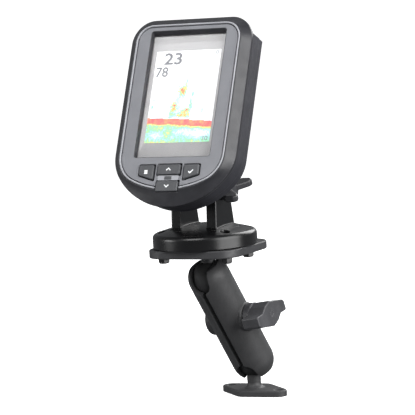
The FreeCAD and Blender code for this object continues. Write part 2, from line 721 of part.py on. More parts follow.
def window_block(grow, y_front, y_back):
    """Prism with the window rim's outline, grown by a margin."""
    wire = rounded_rectangle(WINDOW_HALF_WIDTH + 1.2 + grow, WINDOW_BOTTOM - 0.6 - grow,
                             WINDOW_TOP + 2.9 + grow, 2.2, y_front)
    return Part.Face(wire).extrude(V(0, y_back - y_front, 0))


def window_opening():
    """Funnel-shaped opening of the window rim, deepest slope along the top."""
    front = rounded_rectangle(WINDOW_HALF_WIDTH + 0.9, WINDOW_BOTTOM - 0.4, WINDOW_TOP + 2.6,
                              2.0, WINDOW_RIM_FRONT - 0.01)
    back = rounded_rectangle(WINDOW_HALF_WIDTH, WINDOW_BOTTOM, WINDOW_TOP, 1.0,
                             FLOOR_BACK + 0.01)
    return Part.makeLoft([front, back], True, True)


def front_case():
    """Black bezel: bevelled ring, floor behind the fascia, window rim and side wall."""
    land = inset(TRIM, -0.9)
    body = fuse([blend(land, -4.4, CASE, 1.1), slab(CASE, 1.1, PARTING)])
    body = body.cut(slab(inset(TRIM, -0.1), -6, FACE_BACK))
    body = body.cut(slab(inset(REAR, 4.0), FLOOR_BACK, PARTING + 1))
    body = fuse([body, window_block(0, WINDOW_RIM_FRONT, FLOOR_BACK)]).cut(window_opening())
    for cut in key_cuts(KEY_CLEARANCE, -6, 2):
        body = body.cut(cut)
    for x, z in SCREW_POINTS:
        body = fuse([body, cylinder(3.4, V(x, FLOOR_BACK - 0.5, z), V(0, 1, 0),
                                    PARTING - FLOOR_BACK + 0.5)])
        body = body.cut(cylinder(1.55, V(x, 0.5, z), V(0, 1, 0), 10))
    keep("front_case", body, head_placement())


def face_trim():
    """Grey fascia and the light bead round it."""
    place = head_placement()
    fascia = slab(FASCIA, FACE_FRONT, FACE_BACK).cut(window_block(0.05, -6, 0))
    bead = slab(TRIM, -4.7, FACE_BACK).cut(slab(inset(TRIM, 1.25), -6, 0))
    bead = bead.makeFillet(0.4, edges_at(bead, "y", -4.7))
    for cut in key_cuts(KEY_SURROUND, -6, 2):
        fascia = fascia.cut(cut)
        bead = bead.cut(cut)
    keep("fascia", largest_solid(fascia), place)
    keep("trim_bead", largest_solid(bead), place)


def keys():
    for name, points in KEYS.items():
        cap = key_prism(points, 0, KEY_FRONT, KEY_BACK)
        cap = cap.makeChamfer(0.5, edges_at(cap, "y", KEY_FRONT))
        keep(name, cap, head_placement())


def display_parts():
    """Lens, printed mask, display glass, backlight frame and key membrane."""
    place = head_placement()
    lens = rounded_block(V(-33.0, FLOOR_BACK, -50.4), V(33.0, 0.4, 50.2), 3.0, V(0, 1, 0))
    keep("window_lens", lens, place)
    mask = box(V(-33.0, 0.4, -50.4), V(33.0, 0.7, 50.2)).cut(
        box(V(-ACTIVE_WIDTH / 2, 0, -ACTIVE_HEIGHT / 2), V(ACTIVE_WIDTH / 2, 1, ACTIVE_HEIGHT / 2)))
    keep("display_mask", mask, place)
    panel = box(V(-29.0, 0.7, -41.5), V(29.0, 2.9, 38.5))
    keep("lcd_panel", panel.makeChamfer(0.3, along_edges(panel, V(0, 1, 0))), place)
    frame = box(V(-31.0, 0.7, -44.0), V(31.0, 6.4, 40.8)).cut(
        box(V(-29.1, 0.6, -41.6), V(29.1, 3.0, 38.6)))
    frame = frame.cut(box(V(-24, 4.2, -36), V(24, 7, 34)))
    keep("backlight_frame", frame, place)
    membrane = box(V(-27.0, MEMBRANE_FRONT, -76.5), V(27.0, MEMBRANE_BACK, -51.6))
    membrane = membrane.common(slab(inset(REAR, 4.4), -2, 3))
    domes = []
    for points in KEYS.values():
        x = sum(p[0] for p in points) / len(points)
        z = sum(p[1] for p in points) / len(points)
        domes.append(cylinder(2.0, V(x, MEMBRANE_BACK - 0.1, z), V(0, 1, 0), 1.1))
    keep("keypad_membrane", fuse([membrane] + domes), place)


def boards():
    """Main circuit board with its larger parts, and the round beeper."""
    place = head_placement()
    board = rounded_block(V(-37.0, 8.0, -53.0), V(37.0, 9.6, 33.0), 3.0, V(0, 1, 0))
    chips = []
    for chip in CHIPS:
        corner = V(chip["width"] / 2, 0, chip["height"] / 2)
        chips.append(box(V(chip["x"], 9.5, chip["z"]) - corner,
                         V(chip["x"], 9.6 + chip["depth"], chip["z"]) + corner))
    board = fuse([board] + chips)
    keep("main_circuit_board", board, place)
    beeper = fuse([cylinder(8.0, V(-22, 9.6, -44), V(0, 1, 0), 5.0),
                   cylinder(6.4, V(-22, 14.5, -44), V(0, 1, 0), 0.8)])
    beeper = beeper.cut(cylinder(1.0, V(-22, 12.0, -44), V(0, 1, 0), 5.0))
    keep("beeper", beeper, place)


def gasket_and_rear_case():
    """Sealing ring on the parting line and the deep rear shell."""
    place = head_placement()
    gasket = slab(inset(REAR, 0.8), PARTING, REAR_START).cut(slab(inset(REAR, 3.6), 0, 9))
    for x, z in SCREW_POINTS:
        gasket = gasket.cut(cylinder(3.7, V(x, 0, z), V(0, 1, 0), 10))
    keep("case_gasket", largest_solid(gasket), place)

    step = inset(REAR, 0.5)
    shell = fuse([slab(REAR, REAR_START, REAR_STEP), slab(step, REAR_STEP, REAR_EDGE),
                  blend(step, REAR_EDGE, BACK, REAR_BACK)])
    room = slab(inset(REAR, WALL + 0.5), REAR_START - 1, REAR_EDGE - 1.2)
    inner_back = dict(BACK)
    inner_back["half_width"] -= 3.0
    inner_back["top"] -= 3.0
    inner_back["bottom"] += 3.0
    room = fuse([room, slab(inner_back, REAR_EDGE - 1.5, REAR_BACK - WALL)])
    shell = shell.cut(room)
    for x, z in SCREW_POINTS:
        shell = fuse([shell, cylinder(3.4, V(x, REAR_START - 1.0, z), V(0, 1, 0), 16.5)])
        shell = shell.cut(cylinder(1.55, V(x, 0, z), V(0, 1, 0), 40))
        shell = shell.cut(cylinder(3.3, V(x, REAR_EDGE - 1.4, z), V(0, 1, 0), 20))
    for socket in (POWER_SOCKET, SONAR_SOCKET):
        shell = shell.cut(cylinder(socket["radius"] + SOCKET_CLEARANCE,
                                   V(socket["x"], REAR_EDGE, SOCKET_HEIGHT), V(0, 1, 0), 20))
    for x, z in NECK_SCREWS:
        shell = shell.cut(cylinder(1.8, V(x, REAR_EDGE - 1, z), V(0, 1, 0), 20))
    keep("rear_case", shell, place)


def case_screws():
    screws = []
    for x, z in SCREW_POINTS:
        head = cylinder(2.9, V(x, REAR_EDGE - 1.4, z), V(0, 1, 0), 1.8)
        shank = cylinder(1.5, V(x, 2.0, z), V(0, 1, 0), REAR_EDGE - 1.4 - 2.0)
        drive = fuse([box(V(x - 1.7, REAR_EDGE - 0.5, z - 0.4), V(x + 1.7, 30, z + 0.4)),
                      box(V(x - 0.4, REAR_EDGE - 0.5, z - 1.7), V(x + 0.4, 30, z + 1.7))])
        screws.append(fuse([head, shank]).cut(drive))
    keep("case_screws", Part.Compound(screws), head_placement())


def rear_sockets():
    """Round power and sonar sockets with contact pins in the back."""
    place = head_placement()
    pins = []
    for name, socket in (("power_socket", POWER_SOCKET), ("sonar_socket", SONAR_SOCKET)):
        radius = socket["radius"]
        centre = V(socket["x"], REAR_BACK, SOCKET_HEIGHT)
        inward = V(0, 1, 0)
        flange = cylinder(radius + 1.6, centre, inward, 1.4)
        barrel = cylinder(radius, centre - V(0, 5.4, 0), inward, 12.0)
        body = fuse([flange, barrel])
        body = body.cut(cylinder(radius - 1.6, centre - V(0, 3.4, 0), inward, 20))
        keep(name, body, place)
        for i in range(socket["pins"]):
            angle = 2 * math.pi * i / socket["pins"]
            spot = centre + V(socket["pin_circle"] * math.cos(angle), -3.4,
                              socket["pin_circle"] * math.sin(angle))
            pins.append(cylinder(0.8, spot, inward, 6.0))
    keep("socket_pins", Part.Compound(pins), place)


def neck():
    """Bracket on the case back that holds the tilt hub between the legs."""
    place = head_placement()
    depth, height = pivot_in_head()
    foot = rounded_block(V(-9.2, REAR_BACK, -64.4), V(9.2, REAR_BACK + 3.0, -30.6), 3.0, V(0, 1, 0))
    hub = cylinder(HUB_RADIUS, V(-HUB_HALF_LENGTH, depth, height), V(1, 0, 0), 2 * HUB_HALF_LENGTH)
    profile = [V(-7.0, REAR_BACK + 1.0, height - 7.5), V(-7.0, depth, height - HUB_RADIUS + 0.5),
               V(-7.0, depth, height + HUB_RADIUS - 0.5), V(-7.0, REAR_BACK + 1.0, height + 17.0)]
    web = Part.Face(Part.makePolygon(profile + profile[:1])).extrude(V(14.0, 0, 0))
    body = fuse([foot, hub, web])
    body = body.cut(cylinder(PIVOT_BOLT_RADIUS + 0.08, V(-20, depth, height), V(1, 0, 0), 40))
    for x, z in NECK_SCREWS:
        body = body.cut(cylinder(1.8, V(x, REAR_BACK - 1, z), V(0, 1, 0), 3))
        body = body.cut(cylinder(3.1, V(x, REAR_BACK + 1.6, z), V(0, 1, 0), 12))
    keep("neck_bracket", body, place)
    screws = []
    for x, z in NECK_SCREWS:
        head = cylinder(2.8, V(x, REAR_BACK + 1.6, z), V(0, 1, 0), 1.3)
        shank = cylinder(1.6, V(x, REAR_BACK - 4.5, z), V(0, 1, 0), 6.2)
        screws.append(fuse([head, shank]))
    keep("neck_screws", Part.Compound(screws), place)


def head():
    front_case()
    face_trim()
    keys()
    display_parts()
    boards()
    gasket_and_rear_case()
    case_screws()
    rear_sockets()
    neck()


def main():
    os.makedirs("parts", exist_ok=True)
    base_plate()
    ball_skin("lower_ball_skin", LOWER_BALL, -1)
    arm()
    ball_skin("upper_ball_skin", upper_ball(), 1)
    adapter_plate()
    plate_fasteners()
    swivel_base()
    turret()
    pivot_parts()
    head()
    for name, shape in PARTS.items():
        shape.exportStep(os.path.join("parts", name + ".step"))
        print(name, len(shape.Solids), round(shape.Volume, 1), shape.isValid())


main()
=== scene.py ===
"""Looks of the fish finder: finishes, display picture, key marks, studio and camera.

Blender's objects are in metres in the CAD's frame. Sizes named here are millimetres,
and MM turns them into metres.
"""
import json
import math

import bmesh
import bpy
from mathutils import Matrix, Vector, noise


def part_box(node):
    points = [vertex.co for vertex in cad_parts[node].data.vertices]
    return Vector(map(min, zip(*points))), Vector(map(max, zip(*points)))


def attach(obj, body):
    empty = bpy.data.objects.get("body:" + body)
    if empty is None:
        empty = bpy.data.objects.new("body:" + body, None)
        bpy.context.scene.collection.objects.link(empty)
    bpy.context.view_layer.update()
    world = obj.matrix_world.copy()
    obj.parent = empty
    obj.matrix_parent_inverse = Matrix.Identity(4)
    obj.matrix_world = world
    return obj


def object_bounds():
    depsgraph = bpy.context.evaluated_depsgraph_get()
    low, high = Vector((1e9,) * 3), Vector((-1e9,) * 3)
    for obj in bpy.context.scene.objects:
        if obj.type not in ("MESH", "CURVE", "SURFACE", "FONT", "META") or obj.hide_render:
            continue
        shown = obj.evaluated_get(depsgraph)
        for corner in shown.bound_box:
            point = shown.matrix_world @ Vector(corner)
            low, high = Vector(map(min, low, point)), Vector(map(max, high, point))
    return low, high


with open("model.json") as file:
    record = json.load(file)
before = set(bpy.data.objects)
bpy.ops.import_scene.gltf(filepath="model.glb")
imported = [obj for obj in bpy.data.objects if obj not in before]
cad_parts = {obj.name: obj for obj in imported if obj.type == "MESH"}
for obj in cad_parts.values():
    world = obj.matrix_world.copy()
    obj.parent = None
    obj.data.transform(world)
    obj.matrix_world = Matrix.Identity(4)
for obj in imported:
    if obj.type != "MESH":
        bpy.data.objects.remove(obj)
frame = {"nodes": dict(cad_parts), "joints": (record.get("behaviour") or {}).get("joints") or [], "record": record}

MM = 0.001
cad_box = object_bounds()

# Camera, measured from the middle of the swivel base, RIM_HEIGHT above its underside
AZIMUTH = math.radians(27.80)
ELEVATION = math.radians(5.87)
ROLL = math.radians(3.71)
DISTANCE = 1683.0
SIDE_STEP = 3.31
RISE = 16.75
RIM_HEIGHT = 11.2
LENS = 197.7
SENSOR_WIDTH = 36.0
NEAREST = 50.0
FARTHEST = 30000.0

# Soft boxes: direction as right, up and towards the camera, distance and width in
# metres, and power in watts
LIGHTS = [
    {"name": "key_light", "direction": (0.78, 0.15, 0.60), "distance": 1.4, "width": 1.4,
     "watts": 38.0},
    {"name": "rim_light", "direction": (0.56, 0.59, -0.59), "distance": 1.3, "width": 0.9,
     "watts": 14.0},
    {"name": "front_light", "direction": (-0.36, 0.62, 0.70), "distance": 1.6, "width": 0.9,
     "watts": 15.0},
    {"name": "left_light", "direction": (-0.99, 0.12, 0.10), "distance": 1.3, "width": 0.5,
     "watts": 5.0},
]
WORLD_COLOUR = (235, 238, 242)
WORLD_STRENGTH = 0.25

# Floor, in metres: a flat disc, a round foot of the wall and the wall's top
FLOOR_MIDDLE = 1.0
FLOOR_RADIUS = 2.6
WALL_BEND = 1.4
WALL_BEND_STEPS = 6
WALL_TOP = 2.6
FLOOR_SIDES = 96
FLOOR_DROP = 0.1

# Centre of the display glass in the head's own frame
PANEL_CENTRE = (0, 1.8, -1.5)

# Display, across and up the face from the screen's centre
ACTIVE_WIDTH = 53.3
ACTIVE_HEIGHT = 71.1
PICTURE_DEPTH = 0.62
PICTURE_GLOW = 0.5
CELLS_ACROSS = 96
CELLS_UP = 128
DOT_SIZE = 0.45
DOT_SHARE = 0.05

# Bottom line: height at the left edge, fall to the right edge and how late it falls,
# thickness of the strong band and of the fading edge under it
BOTTOM_LEFT = -16.4
BOTTOM_DROP = 3.6
BOTTOM_BEND = 1.6
BOTTOM_BAND = 4.4
BOTTOM_EDGE = 1.6

# Digits on the display: lower left corner and size, across and up the face.
# A digit's height is DIGIT_SHARE of the font's size.
DIGIT_LIFT = 0.03
DIGIT_SHARE = 0.7
DIGITS = [
    {"name": "depth_digits", "text": "23", "corner": (-19.6, 24.8), "size": (14.6, 9.2),
     "bold": 0.26},
    {"name": "temperature_digits", "text": "78", "corner": (-25.2, 15.4),
     "size": (10.0, 7.7), "bold": 0.12},
    {"name": "range_top_digit", "text": "0", "corner": (22.4, 31.6), "size": (2.2, 3.2),
     "bold": 0.0},
    {"name": "range_bottom_digits", "text": "30", "corner": (19.8, -34.4),
     "size": (5.0, 3.4), "bold": 0.0},
]

# Marks on the keys
MARK_THICKNESS = 0.06
MARK_SINK = 0.02
CARD_BARS = (-1.45, -0.42, 0.61)
CARD_BAR_HEIGHT = 0.86
CARD_HALF_WIDTH = 1.35
CARD_CORNER = 0.2
ARROW_HALF_WIDTH = 1.7
ARROW_HALF_HEIGHT = 0.8
ARROW_LINE = 0.8
TICK = [(-1.8, 0.0), (-0.6, -1.2), (1.8, 1.2)]
TICK_LINE = 0.85

# Strip between the arrow keys and the insert in its middle
STRIP_HALF_WIDTH = 8.4
STRIP_LOW = -65.9
STRIP_HIGH = -62.3
STRIP_CORNER = 0.5
STRIP_PROUD = 0.45
STRIP_SINK = 0.1
INSERT_HALF_WIDTH = 2.9
INSERT_MARGIN = 0.45
INSERT_CORNER = 0.3
INSERT_PROUD = 0.05
INSERT_THICKNESS = 0.1

# Lighter edges, partly wear and partly painted highlight: how closely the rounded and the
# flat normal agree on a full edge and on a flat face, the size of the patches that break
# them up and the least share of them left in a patch
FULL_EDGE = 0.90
FLAT_FACE = 0.995
WEAR_AND_HIGHLIGHT_PATCH = 3.0
LEAST_WEAR_AND_HIGHLIGHT = 0.2

# Most that patches and specks change a finish's colour
PATCH_SHARE = 0.7
SPECK_SHARE = 0.4


def light(red, green, blue):
    """A display colour of 0 to 255 a channel as linear light."""
    channels = []
    for value in (red / 255, green / 255, blue / 255):
        low = value / 12.92
        high = ((value + 0.055) / 1.055) ** 2.4
        channels.append(low if value <= 0.04045 else high)
    return (*channels, 1.0)


# ---------------------------------------------------------------- materials

class Graph:
    """Writes the nodes of one material."""

    def __init__(self, name):
        self.material = bpy.data.materials.new(name)
        self.material.use_nodes = True
        self.tree = self.material.node_tree
        self.tree.nodes.clear()
        self.coords = self.add("TexCoord").outputs["Object"]

    def add(self, kind, inputs=None, **settings):
        node = self.tree.nodes.new("ShaderNode" + kind)
        for key, value in settings.items():
            setattr(node, key, value)
        for key, value in (inputs or {}).items():
            self.feed(node.inputs[key], value)
        return node

    def feed(self, socket, value):
        if isinstance(value, bpy.types.NodeSocket):
            self.tree.links.new(value, socket)
        else:
            socket.default_value = value

    def noise(self, size, detail=2.0, stretch=(1, 1, 1)):
        """Noise with features about this many millimetres across."""
        mapping = self.add("Mapping", {"Vector": self.coords, "Scale": stretch})
        texture = self.add("TexNoise", {"Vector": mapping.outputs["Vector"],
                                        "Scale": 1 / (size * MM), "Detail": detail})
        return texture.outputs["Fac"]

    def spread(self, value, low, high, start=0.35, end=0.65):
        """A value's middle range spread between two others."""
        node = self.add("MapRange", {"Value": value, "From Min": start, "From Max": end,
                                     "To Min": low, "To Max": high})
        return node.outputs["Result"]

    def mix(self, share, first, second):
        node = self.add("Mix", data_type="RGBA")
        self.feed(node.inputs[0], share)
        self.feed(node.inputs[6], first)
        self.feed(node.inputs[7], second)
        return node.outputs[2]

    def times(self, first, second):
        return self.add("Math", {0: first, 1: second}, operation="MULTIPLY").outputs[0]

    def edge_share(self, rounded):
        """Share of the lighter edge colour, partly wear and partly painted highlight: 0 on flat faces, rising to 1
        on sharp edges, broken up by noise.
        """
        face = self.add("NewGeometry").outputs["Normal"]
        along = self.add("VectorMath", {0: rounded, 1: face}, operation="DOT_PRODUCT")
        edge = self.spread(along.outputs["Value"], 1.0, 0.0, start=FULL_EDGE, end=FLAT_FACE)
        return self.times(edge, self.spread(self.noise(WEAR_AND_HIGHLIGHT_PATCH), LEAST_WEAR_AND_HIGHLIGHT, 1.0))

    def done(self, shader):
        """The material with this shader on its surface."""
        output = self.add("OutputMaterial")
        self.tree.links.new(shader, output.inputs["Surface"])
        return self.material


def finish(name, colour, fleck, roughness, grain, depth, patch=14.0, metallic=0.0,
           coat=0.0, edge_wear_and_highlight=None, edge=0.4, specular=0.5, stretch=(1, 1, 1), emission=0.0):
    """A moulded, painted or metal finish with patches, specks, grain and lighter edges, which are partly wear and
    partly painted highlight.
    """
    graph = Graph(name)
    patches = graph.spread(graph.noise(patch, detail=3), 0.0, PATCH_SHARE)
    specks = graph.noise(grain * 2, detail=1, stretch=stretch)
    specks = graph.spread(specks, 0.0, SPECK_SHARE)
    tone = graph.mix(patches, light(*colour), light(*fleck))
    tone = graph.mix(specks, tone, light(*fleck))
    rounded = graph.add("Bevel", {"Radius": edge * MM}, samples=4).outputs["Normal"]
    # Lighter colour on the edges: partly wear, partly a painted highlight along them
    if edge_wear_and_highlight:
        tone = graph.mix(graph.edge_share(rounded), tone, light(*edge_wear_and_highlight))
    gloss = graph.spread(graph.noise(patch / 3, detail=2, stretch=stretch), *roughness)
    height = graph.noise(grain, detail=1, stretch=stretch)
    bump = graph.add("Bump", {"Height": height, "Distance": depth * MM, "Normal": rounded})
    shader = graph.add("BsdfPrincipled", {
        "Base Color": tone, "Roughness": gloss, "Metallic": metallic, "Coat Weight": coat,
        "Specular IOR Level": specular, "Normal": bump.outputs["Normal"]})
    if emission:
        graph.feed(shader.inputs["Emission Color"], tone)
        shader.inputs["Emission Strength"].default_value = emission
    return graph.done(shader.outputs["BSDF"])


def lens_finish(name):
    """Clear window with faint smears; light passes through to the display."""
    graph = Graph(name)
    smears = graph.noise(9.0, detail=4, stretch=(1, 1, 0.4))
    clear = graph.add("BsdfTransparent", {"Color": light(252, 252, 252)})
    mirror = graph.add("BsdfGlossy", {"Color": light(150, 150, 152),
                                      "Roughness": graph.spread(smears, 0.04, 0.16)})
    fresnel = graph.add("Fresnel", {"IOR": 1.45}).outputs["Fac"]
    inside = graph.add("NewGeometry").outputs["Backfacing"]
    outside = graph.add("Math", {0: 1.0, 1: inside}, operation="SUBTRACT").outputs[0]
    both = graph.add("MixShader", {0: graph.times(fresnel, outside), 1: clear.outputs["BSDF"],
                                   2: mirror.outputs["BSDF"]})
    return graph.done(both.outputs["Shader"])


def board_finish(name):
    """Green solder resist with paler copper tracks under it."""
    graph = Graph(name)
    tracks = graph.add("TexWave", {"Vector": graph.coords, "Scale": 900.0, "Distortion": 6.0,
                                   "Detail": 1.0}, bands_direction="DIAGONAL").outputs["Fac"]
    share = graph.spread(tracks, 0.0, 1.0, start=0.7, end=0.8)
    tone = graph.mix(share, light(22, 92, 48), light(60, 140, 78))
    bump = graph.add("Bump", {"Height": share, "Distance": 0.03 * MM})
    shader = graph.add("BsdfPrincipled", {
        "Base Color": tone, "Roughness": graph.spread(graph.noise(6.0), 0.25, 0.45),
        "Normal": bump.outputs["Normal"]})
    return graph.done(shader.outputs["BSDF"])


def picture_finish(name):
    """Lit liquid-crystal picture: each cell's colour, with a fine dot pattern over it."""
    graph = Graph(name)
    cell = graph.add("Attribute", attribute_name="echo").outputs["Color"]
    dots = graph.add("TexChecker", {"Vector": graph.coords, "Scale": 1 / (DOT_SIZE * MM)})
    shade = graph.spread(dots.outputs["Fac"], 0.0, DOT_SHARE, start=0.0, end=1.0)
    tone = graph.mix(shade, cell, light(150, 160, 165))
    shader = graph.add("BsdfPrincipled", {
        "Base Color": tone, "Emission Color": tone, "Emission Strength": PICTURE_GLOW,
        "Roughness": graph.spread(graph.noise(8.0), 0.3, 0.4)})
    return graph.done(shader.outputs["BSDF"])


# Colours of 0 to 255, roughness as its lowest and highest, and sizes in millimetres. The edge colour is partly
# wear and partly painted highlight.
FINISHES = {
    "powder_coat": dict(colour=(51, 51, 52), fleck=(61, 61, 62), roughness=(0.48, 0.60),
                        grain=0.5, depth=0.03, edge_wear_and_highlight=(88, 88, 90), specular=0.4),
    "plate_coat": dict(colour=(46, 46, 48), fleck=(58, 58, 60), roughness=(0.42, 0.55),
                       grain=0.5, depth=0.03, edge_wear_and_highlight=(84, 84, 86)),
    "ball_rubber": dict(colour=(26, 26, 27), fleck=(38, 38, 39), roughness=(0.65, 0.8),
                        grain=0.8, depth=0.04),
    "steel": dict(colour=(165, 165, 168), fleck=(200, 200, 202), roughness=(0.25, 0.4),
                  grain=0.3, depth=0.01, metallic=1.0, stretch=(1, 1, 8)),
    "dark_steel": dict(colour=(38, 38, 40), fleck=(58, 57, 57), roughness=(0.3, 0.45),
                       grain=0.3, depth=0.015, metallic=0.5, edge_wear_and_highlight=(110, 110, 112)),
    "spring_steel": dict(colour=(150, 150, 154), fleck=(180, 180, 184),
                         roughness=(0.2, 0.35), grain=0.3, depth=0.01, metallic=1.0),
    "brass": dict(colour=(190, 150, 80), fleck=(214, 178, 104), roughness=(0.25, 0.4),
                  grain=0.3, depth=0.01, metallic=1.0),
    "knob_plastic": dict(colour=(54, 54, 56), fleck=(72, 72, 75), roughness=(0.34, 0.46),
                         grain=0.45, depth=0.03, edge_wear_and_highlight=(140, 140, 143), edge=0.7),
    "gimbal_plastic": dict(colour=(9, 9, 10), fleck=(14, 14, 15), roughness=(0.27, 0.31),
                           grain=0.5, depth=0.001, patch=30.0, edge=0.4, specular=0.45),
    "wing_plastic": dict(colour=(50, 50, 53), fleck=(62, 62, 65), roughness=(0.3, 0.4),
                         grain=0.45, depth=0.01, edge_wear_and_highlight=(78, 78, 82), edge=0.5),
    "case_plastic": dict(colour=(40, 40, 43), fleck=(50, 50, 54), roughness=(0.30, 0.40),
                         grain=0.35, depth=0.012, edge_wear_and_highlight=(76, 76, 80), edge=0.8),
    "rear_plastic": dict(colour=(38, 38, 43), fleck=(50, 50, 56), roughness=(0.45, 0.58),
                         grain=0.4, depth=0.03, edge_wear_and_highlight=(82, 82, 88), edge=0.8),
    "fascia_grey": dict(colour=(124, 125, 130), fleck=(134, 135, 140),
                        roughness=(0.42, 0.5), grain=0.3, depth=0.012,
                        edge_wear_and_highlight=(166, 167, 172)),
    "bead_grey": dict(colour=(160, 161, 166), fleck=(172, 173, 178), roughness=(0.3, 0.4),
                      grain=0.3, depth=0.008, edge_wear_and_highlight=(205, 206, 210)),
    "key_grey": dict(colour=(70, 71, 74), fleck=(82, 83, 86), roughness=(0.5, 0.62),
                     grain=0.35, depth=0.02, edge_wear_and_highlight=(130, 131, 135)),
    "mask_grey": dict(colour=(216, 215, 216), fleck=(224, 223, 224),
                      roughness=(0.35, 0.42), grain=0.4, depth=0.003),
    "screen": dict(colour=(210, 216, 218), fleck=(224, 228, 230), roughness=(0.2, 0.3),
                   grain=0.4, depth=0.003),
    "frame_white": dict(colour=(222, 222, 216), fleck=(232, 232, 228),
                        roughness=(0.4, 0.5), grain=0.4, depth=0.01),
    "membrane_rubber": dict(colour=(24, 24, 25), fleck=(34, 34, 35), roughness=(0.6, 0.75),
                            grain=0.5, depth=0.02),
    "gasket_rubber": dict(colour=(16, 16, 17), fleck=(26, 26, 27), roughness=(0.6, 0.75),
                          grain=0.5, depth=0.02),
    "beeper_black": dict(colour=(28, 28, 29), fleck=(38, 38, 40), roughness=(0.4, 0.5),
                         grain=0.4, depth=0.015),
    # White print on the keys; its emission is a painted glow, since the marks are no lamp
    "white_ink": dict(colour=(238, 240, 240), fleck=(248, 248, 248),
                      roughness=(0.4, 0.5), grain=0.3, depth=0.004, emission=0.25),
    "display_ink": dict(colour=(138, 139, 144), fleck=(152, 154, 159),
                        roughness=(0.4, 0.5), grain=0.4, depth=0.002, emission=0.25),
}


# Nodes whose finish differs from the one of their slot
OWN_FINISH = {"gimbal_knob": "wing_plastic"}


def make_materials():
    materials = {name: finish(name, **values) for name, values in FINISHES.items()}
    materials["lens"] = lens_finish("lens")
    materials["board_green"] = board_finish("board_green")
    materials["picture"] = picture_finish("picture")
    return materials


def paint_cad(materials):
    """Each CAD node takes the finish of its slot in the record."""
    for part in frame["record"]["subparts"]:
        node = frame["nodes"].get(part["node"])
        if node is None:
            continue
        node.data.materials.clear()
        looks = OWN_FINISH.get(part["node"], part["material_slot"])
        node.data.materials.append(materials[looks])


# ---------------------------------------------------------------- shapes

def joint(name):
    return next(j for j in frame["joints"] if j["name"] == name)


def head_frame():
    """Place of the head's own frame: x across, y into the case, z up the face."""
    inward = Vector(joint("up_press")["axis"])
    up = Vector((1, 0, 0)).cross(inward)
    axes = Matrix(((1, 0, 0), inward, up)).transposed()
    low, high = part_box("lcd_panel")
    origin = (low + high) / 2 - axes @ (Vector(PANEL_CENTRE) * MM)
    return Matrix.Translation(origin) @ axes.to_4x4()


def local_box(node, place):
    """Lowest and highest corner of a CAD node in millimetres of another frame."""
    back = place.inverted()
    points = [back @ vertex.co / MM for vertex in frame["nodes"][node].data.vertices]
    low = Vector([min(p[i] for p in points) for i in range(3)])
    high = Vector([max(p[i] for p in points) for i in range(3)])
    return low, high


def add_piece(name, mesh, place, body, material):
    """A new visible piece from a mesh in millimetres of one frame."""
    piece = bpy.data.objects.new(name, mesh)
    bpy.context.collection.objects.link(piece)
    mesh.transform(Matrix.Scale(MM, 4))
    piece.matrix_world = place
    mesh.materials.clear()
    mesh.materials.append(material)
    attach(piece, body)
    return piece


def thin_plates(name, outlines, front, thickness):
    """Thin plates that face the viewer, from outlines across and up the face."""
    shape = bmesh.new()
    for outline in outlines:
        corners = [shape.verts.new((x, front + thickness, z)) for x, z in outline]
        face = shape.faces.new(corners)
        grown = bmesh.ops.extrude_face_region(shape, geom=[face])
        moved = [item for item in grown["geom"] if isinstance(item, bmesh.types.BMVert)]
        bmesh.ops.translate(shape, verts=moved, vec=(0, -thickness, 0))
    bmesh.ops.recalc_face_normals(shape, faces=shape.faces)
    mesh = bpy.data.meshes.new(name)
    shape.to_mesh(mesh)
    shape.free()
    return mesh


def stroke(points, width, sharpest=0.3):
    """Outline of a line of one width through a few points, with mitred corners."""
    points = [Vector(p) for p in points]
    left = []
    right = []
    for i, point in enumerate(points):
        before = (point - points[max(i - 1, 0)]).normalized()
        after = (points[min(i + 1, len(points) - 1)] - point).normalized()
        along = (before + after).normalized()
        across = Vector((-along.y, along.x))
        run = after if i == 0 else before
        reach = width / 2 / max(sharpest, abs(across.dot(Vector((-run.y, run.x)))))
        left.append(tuple(point + across * reach))
        right.append(tuple(point - across * reach))
    return left + right[::-1]


def rounded_rectangle(low, high, radius, steps=4):
    """Outline of a rectangle with round corners."""
    corners = [(high[0] - radius, high[1] - radius), (low[0] + radius, high[1] - radius),
               (low[0] + radius, low[1] + radius), (high[0] - radius, low[1] + radius)]
    outline = []
    for quarter, (x, z) in enumerate(corners):
        for step in range(steps + 1):
            angle = math.pi / 2 * (quarter + step / steps)
            outline.append((x + radius * math.cos(angle), z + radius * math.sin(angle)))
    return outline


# ---------------------------------------------------------------- display

PALETTE = [
    (0.00, (252, 253, 253)),
    (0.10, (238, 247, 252)),
    (0.22, (206, 232, 246)),
    (0.36, (168, 230, 220)),
    (0.50, (160, 226, 172)),
    (0.62, (214, 234, 150)),
    (0.72, (250, 226, 140)),
    (0.82, (244, 178, 116)),
    (0.92, (240, 138, 126)),
    (1.00, (230, 116, 122)),
]

